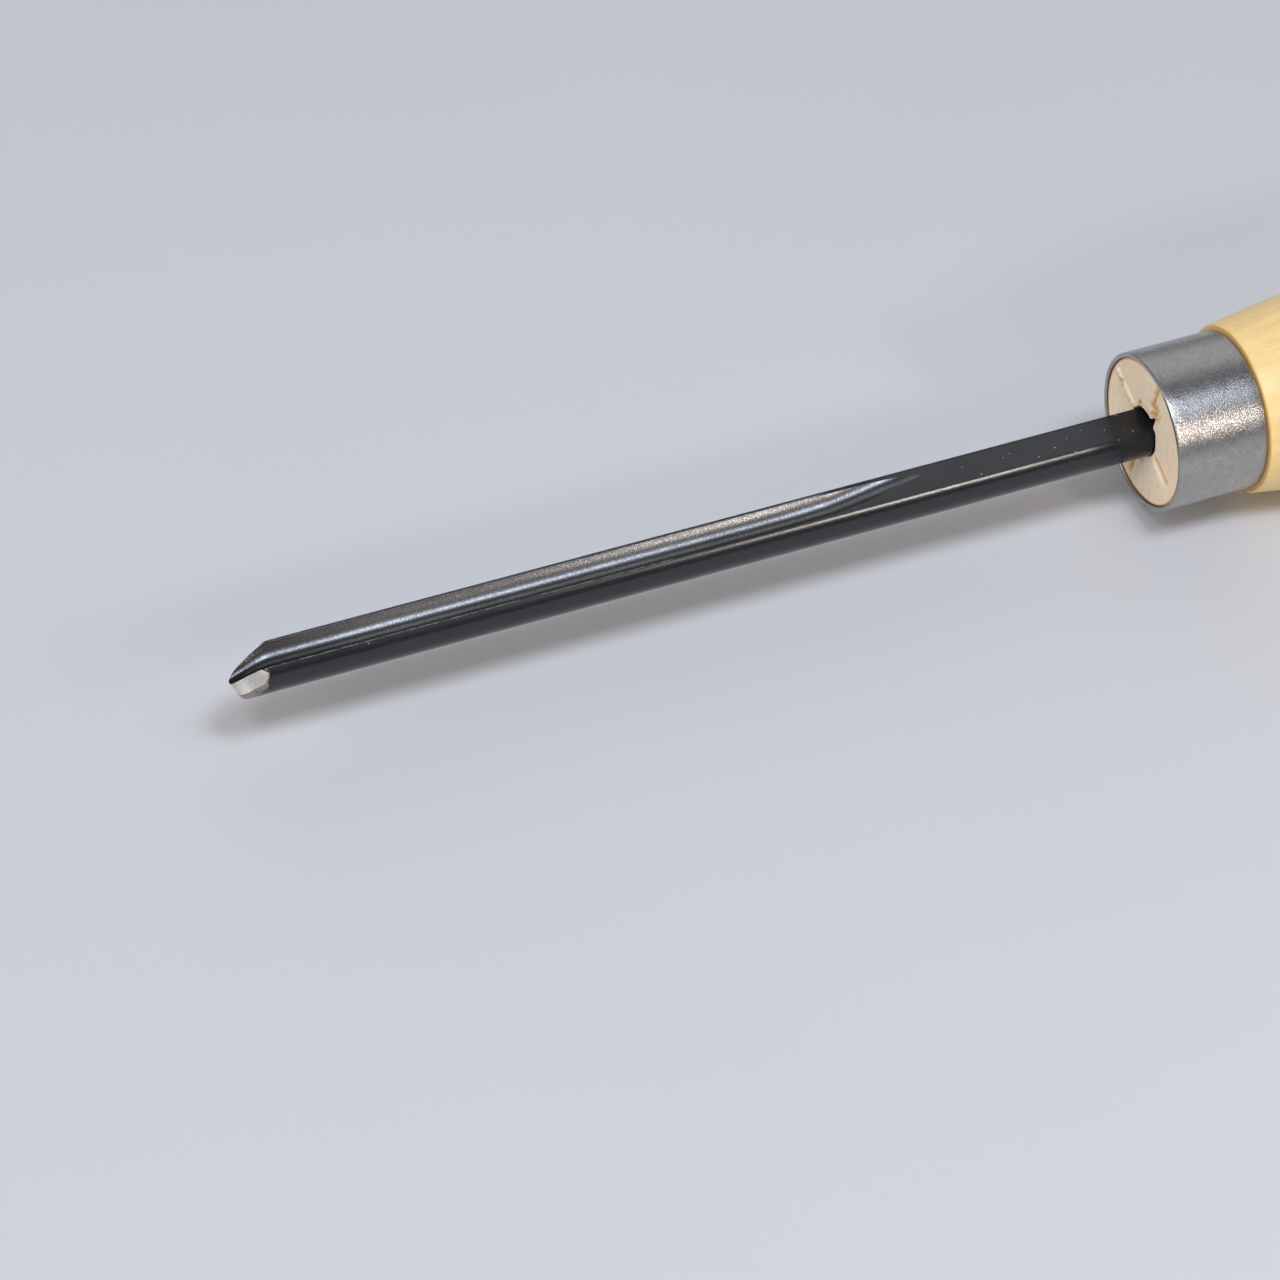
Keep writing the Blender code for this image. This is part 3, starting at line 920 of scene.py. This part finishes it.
FLOOR_HALF_SIZE = 2.5  # metres
FLOOR_GAP = 0.0001
LIT_PLACE = 84.0  # the lights face the blade's axis this far back from the nose, in millimetres
WORLD_COLOUR = (0.85, 0.90, 1.0, 1)
WORLD_STRENGTH = 0.14


def build_floor():
    bm = bmesh.new()
    bmesh.ops.create_grid(bm, x_segments=8, y_segments=8, size=FLOOR_HALF_SIZE)
    mesh = bpy.data.meshes.new("floor")
    bm.to_mesh(mesh)
    bm.free()
    mesh.materials.append(floor_finish())
    floor = bpy.data.objects.new("floor", mesh)
    floor.location.z = cad_low.z - FLOOR_GAP
    bpy.context.scene.collection.objects.link(floor)


def softbox(name, direction, distance, size, power, colour):
    """Square light in a direction and at a distance from the lit place, facing it."""
    light = bpy.data.lights.new(name, "AREA")
    light.size = size
    light.energy = power
    light.color = colour
    made = bpy.data.objects.new(name, light)
    way = Vector(direction).normalized()
    made.location = Vector((NOSE_X + LIT_PLACE * MM, 0, AXIS_Z)) + way * distance
    made.rotation_euler = way.to_track_quat("Z", "Y").to_euler()
    made.visible_camera = False
    bpy.context.scene.collection.objects.link(made)


def build_lights():
    cool, warm, rosy = (0.80, 0.86, 1.0), (1.0, 0.86, 0.72), (1.0, 0.90, 0.83)
    softbox("overhead_softbox", (0.0, -0.42, 0.907), 1.2, 0.25, 5.0, cool)
    softbox("left_softbox", (-0.36, -0.39, 0.847), 1.2, 0.25, 3.3, cool)
    softbox("cool_kicker", (0.25, -0.43, 0.865), 1.2, 0.25, 1.5, cool)
    softbox("low_lamp", (-0.05, -0.866, 0.5), 1.2, 0.1, 0.75, warm)
    softbox("near_lamp", (0.37, -0.80, 0.47), 0.42, 0.04, 0.27, rosy)
    softbox("left_fill", (-0.85, -0.1, 0.5), 1.3, 0.9, 6.6, (1.0, 0.94, 0.87))
    softbox("back_panel", (0.25, 0.72, 0.64), 1.3, 1.4, 3.5, (0.97, 0.98, 1.0))
    world = bpy.data.worlds.new("studio")
    world.use_nodes = True
    background = world.node_tree.nodes["Background"]
    background.inputs["Color"].default_value = WORLD_COLOUR
    background.inputs["Strength"].default_value = WORLD_STRENGTH
    bpy.context.scene.world = world
    bpy.context.scene.view_settings.view_transform = "Standard"


# Camera: metres from the middle of the ferrule's front rim, degrees, and millimetres of lens and sensor
CAMERA_FROM_FERRULE = Vector((-0.2713, -0.4309, 0.4450))
CAMERA_AZIMUTH = 25.45  # looks along +Y, turned this far towards +X
CAMERA_ELEVATION = 43.77  # and down by this much
CAMERA_ROLL = 2.97
CAMERA_LENS = 155.08
SENSOR_WIDTH = 36.0


def build_camera():
    azimuth, elevation = math.radians(CAMERA_AZIMUTH), math.radians(CAMERA_ELEVATION)
    level = math.cos(elevation)
    forward = Vector((level * math.sin(azimuth), level * math.cos(azimuth), -math.sin(elevation)))
    right = forward.cross(Vector((0, 0, 1))).normalized()
    right.rotate(Matrix.Rotation(math.radians(-CAMERA_ROLL), 3, forward))
    up = right.cross(forward)
    data = bpy.data.cameras.new("camera")
    data.sensor_width = SENSOR_WIDTH
    data.lens = CAMERA_LENS
    data.clip_start = 0.01
    camera = bpy.data.objects.new("camera", data)
    place = Vector((FERRULE_LOW.x, 0, AXIS_Z)) + CAMERA_FROM_FERRULE
    turn = Matrix((right, up, -forward)).transposed().to_4x4()
    camera.matrix_world = Matrix.Translation(place) @ turn
    bpy.context.scene.collection.objects.link(camera)
    bpy.context.scene.camera = camera


build_blade()
build_ferrule()
build_handle()
build_floor()
build_lights()
build_camera()
